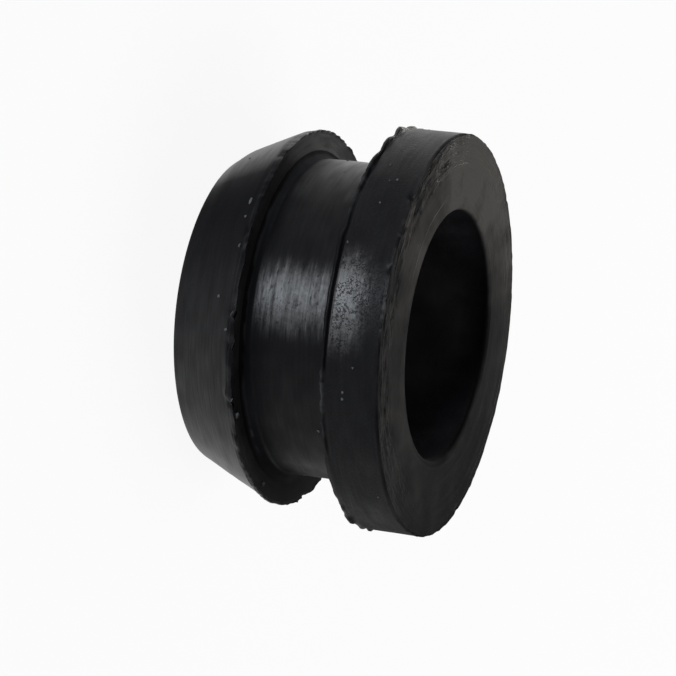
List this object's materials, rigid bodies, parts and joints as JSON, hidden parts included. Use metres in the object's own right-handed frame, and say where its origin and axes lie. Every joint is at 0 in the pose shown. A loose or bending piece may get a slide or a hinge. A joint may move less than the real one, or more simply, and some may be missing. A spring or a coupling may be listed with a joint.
{
  "type": "valve hole reducer",
  "caption": "One-piece black rubber snap-in grommet with flange, neck groove and tapered barb, for reducing a wheel rim's valve hole.",
  "frame": {"origin": "centre of the bore in the plane of the small end's face, which is the lowest point of the part", "axes": "+Z along the bore axis, from the small end up to the flange's front face; X and Y are equivalent"},
  "size_m": [0.0262, 0.026, 0.0147],
  "materials": {
    "moulded_rubber": "matte black moulded rubber with torn flash"
  },
  "bodies": {
    "root": {"reducer_grommet": "moulded_rubber"}
  },
  "joints": []
}
